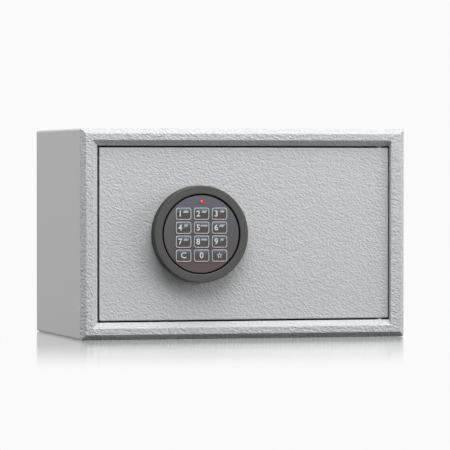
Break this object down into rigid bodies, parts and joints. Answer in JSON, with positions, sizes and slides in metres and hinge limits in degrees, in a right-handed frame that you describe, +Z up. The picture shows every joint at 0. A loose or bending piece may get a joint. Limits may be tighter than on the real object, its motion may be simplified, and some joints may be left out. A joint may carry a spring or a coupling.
{
  "type": "in-room safe",
  "caption": "Compact steel in-room safe with a recessed hinged door, a turning ring knob round a keypad, and sliding bolts.",
  "frame": {"origin": "centre of the base's underside", "axes": "+X to the right along the width as seen from the front, +Y to the back, +Z up; the door faces -Y"},
  "size_m": [0.32, 0.2099, 0.2],
  "materials": {
    "structured_paint": "leather-textured powder coat",
    "smooth_paint": "smooth satin powder coat",
    "zinc_steel": "zinc plated",
    "bright_steel": "bright plated",
    "felt": "needle-punched felt",
    "black_plastic": "moulded, fine matte",
    "nylon": "moulded, satin",
    "brass": "turned",
    "cell_wrap": "printed sleeve",
    "circuit_board": "solder resist",
    "keypad_film": "printed film",
    "red_lens": "clear tinted",
    "knob_plastic": "moulded, fine satin",
    "key_plastic": "polished"
  },
  "bodies": {
    "cabinet": {"cabinet_wrap": "smooth_paint", "rear_wall": "smooth_paint", "front_frame": "structured_paint", "strike_plate": "zinc_steel", "lower_door_stop": "zinc_steel", "upper_door_stop": "zinc_steel", "floor_mat": "felt", "left_floor_plug": "black_plastic", "right_floor_plug": "black_plastic", "left_rear_plug": "black_plastic", "right_rear_plug": "black_plastic", "lower_hinge_bush": "nylon", "upper_hinge_bush": "nylon"},
    "door": {"door_panel": "structured_paint", "lower_hinge_pin": "bright_steel", "upper_hinge_pin": "bright_steel", "lower_hinge_block": "zinc_steel", "upper_hinge_block": "zinc_steel", "spindle_bush": "black_plastic", "bolt_guide": "zinc_steel", "guide_stud": "bright_steel", "post_bracket": "zinc_steel", "post_nut": "brass", "boltwork_case": "smooth_paint", "lock_case": "zinc_steel", "main_board": "circuit_board", "battery_tray": "black_plastic", "battery_1": "cell_wrap", "battery_2": "cell_wrap", "battery_3": "cell_wrap", "battery_4": "cell_wrap", "keypad_housing": "black_plastic", "keypad_board": "circuit_board", "keypad_face": "keypad_film", "status_lens": "red_lens", "keypad_cable": "black_plastic"},
    "knob": {"knob_ring": "knob_plastic", "spindle_sleeve": "zinc_steel", "bolt_cam": "zinc_steel", "cam_circlip": "bright_steel"},
    "bolts": {"bolt_bar": "zinc_steel", "lower_bolt": "bright_steel", "upper_bolt": "bright_steel", "drive_pin": "bright_steel"},
    "lock_plunger": {"lock_plunger": "bright_steel"},
    "battery_cover": {"battery_cover": "black_plastic"},
    "reset_button": {"reset_button": "red_lens"},
    "key_1": {"key_1": "key_plastic"},
    "key_2": {"key_2": "key_plastic"},
    "key_3": {"key_3": "key_plastic"},
    "key_4": {"key_4": "key_plastic"},
    "key_5": {"key_5": "key_plastic"},
    "key_6": {"key_6": "key_plastic"},
    "key_7": {"key_7": "key_plastic"},
    "key_8": {"key_8": "key_plastic"},
    "key_9": {"key_9": "key_plastic"},
    "key_clear": {"key_clear": "key_plastic"},
    "key_0": {"key_0": "key_plastic"},
    "key_star": {"key_star": "key_plastic"}
  },
  "joints": [
    {"name": "door_hinge", "type": "hinge", "parent": "cabinet", "child": "door", "pos_m": [0.1363, -0.091, 0.1], "axis": [0, 0, 1], "range_deg": [0, 110]},
    {"name": "knob_turn", "type": "hinge", "parent": "door", "child": "knob", "pos_m": [-0.0454, -0.1, 0.1], "axis": [0, -1, 0], "range_deg": [0, 90]},
    {"name": "bolt_throw", "type": "slide", "parent": "door", "child": "bolts", "axis": [-1, 0, 0], "range_m": [0, 0.01601]},
    {"name": "lock_plunger_slide", "type": "slide", "parent": "door", "child": "lock_plunger", "axis": [0, -1, 0], "range_m": [0, 0.0035]},
    {"name": "battery_cover_slide", "type": "slide", "parent": "door", "child": "battery_cover", "axis": [0, 0, -1], "range_m": [0, 0.03]},
    {"name": "reset_press", "type": "slide", "parent": "door", "child": "reset_button", "axis": [0, -1, 0], "range_m": [0, 0.0015], "stiffness_N_per_m": 400},
    {"name": "key_1_press", "type": "slide", "parent": "door", "child": "key_1", "axis": [0, 1, 0], "range_m": [0, 0.001], "stiffness_N_per_m": 400},
    {"name": "key_2_press", "type": "slide", "parent": "door", "child": "key_2", "axis": [0, 1, 0], "range_m": [0, 0.001], "stiffness_N_per_m": 400},
    {"name": "key_3_press", "type": "slide", "parent": "door", "child": "key_3", "axis": [0, 1, 0], "range_m": [0, 0.001], "stiffness_N_per_m": 400},
    {"name": "key_4_press", "type": "slide", "parent": "door", "child": "key_4", "axis": [0, 1, 0], "range_m": [0, 0.001], "stiffness_N_per_m": 400},
    {"name": "key_5_press", "type": "slide", "parent": "door", "child": "key_5", "axis": [0, 1, 0], "range_m": [0, 0.001], "stiffness_N_per_m": 400},
    {"name": "key_6_press", "type": "slide", "parent": "door", "child": "key_6", "axis": [0, 1, 0], "range_m": [0, 0.001], "stiffness_N_per_m": 400},
    {"name": "key_7_press", "type": "slide", "parent": "door", "child": "key_7", "axis": [0, 1, 0], "range_m": [0, 0.001], "stiffness_N_per_m": 400},
    {"name": "key_8_press", "type": "slide", "parent": "door", "child": "key_8", "axis": [0, 1, 0], "range_m": [0, 0.001], "stiffness_N_per_m": 400},
    {"name": "key_9_press", "type": "slide", "parent": "door", "child": "key_9", "axis": [0, 1, 0], "range_m": [0, 0.001], "stiffness_N_per_m": 400},
    {"name": "key_clear_press", "type": "slide", "parent": "door", "child": "key_clear", "axis": [0, 1, 0], "range_m": [0, 0.001], "stiffness_N_per_m": 400},
    {"name": "key_0_press", "type": "slide", "parent": "door", "child": "key_0", "axis": [0, 1, 0], "range_m": [0, 0.001], "stiffness_N_per_m": 400},
    {"name": "key_star_press", "type": "slide", "parent": "door", "child": "key_star", "axis": [0, 1, 0], "range_m": [0, 0.001], "stiffness_N_per_m": 400}
  ],
  "couplings": [
    {"joint": "bolt_throw", "follows": "knob_turn", "m_per_rad": 0.010186}
  ]
}
